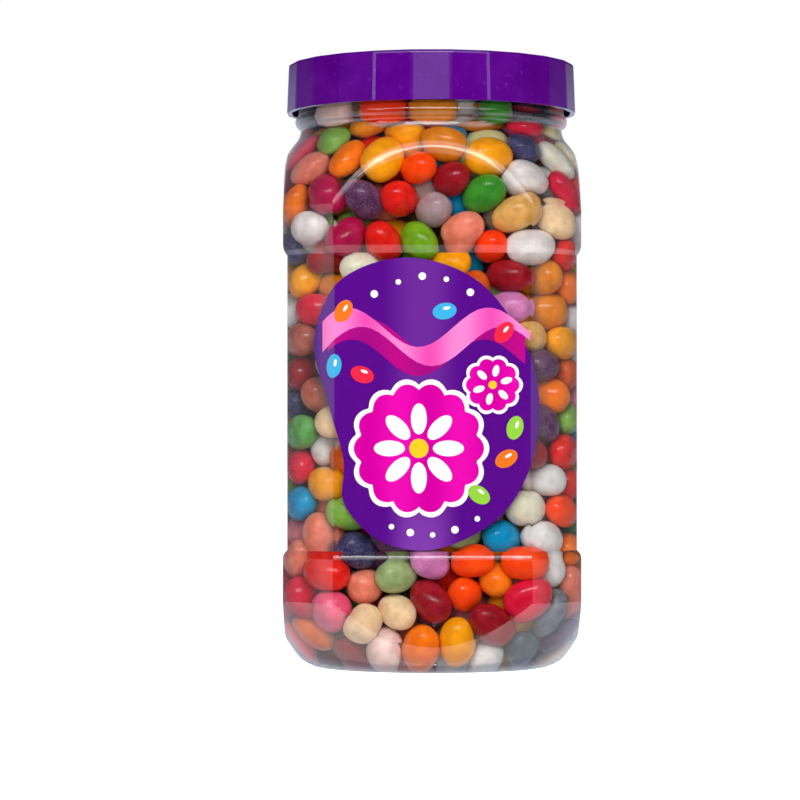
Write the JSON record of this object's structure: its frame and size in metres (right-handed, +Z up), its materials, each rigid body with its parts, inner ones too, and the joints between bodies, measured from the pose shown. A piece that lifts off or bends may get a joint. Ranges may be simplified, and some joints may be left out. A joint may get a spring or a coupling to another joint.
{
  "type": "jar of jelly beans",
  "caption": "Clear square plastic jar with rounded shoulders and a faceted violet screw lid, filled with bean-shaped sweets in many colours, with a purple label on its front panel.",
  "frame": {"origin": "middle of the ring that the jar stands on", "axes": "+Z up along the jar's axis, -Y towards the front, where the label is"},
  "size_m": [0.0884, 0.0884, 0.1826],
  "materials": {
    "clear_plastic": "clear, glossy",
    "violet_plastic": "satin, moulded",
    "printed_film": "smooth printed film",
    "sweets": "glazed, speckled, many colours"
  },
  "bodies": {
    "root": {"jar": "clear_plastic", "lid": "violet_plastic", "label": "printed_film", "jelly_beans": "sweets"}
  },
  "joints": []
}
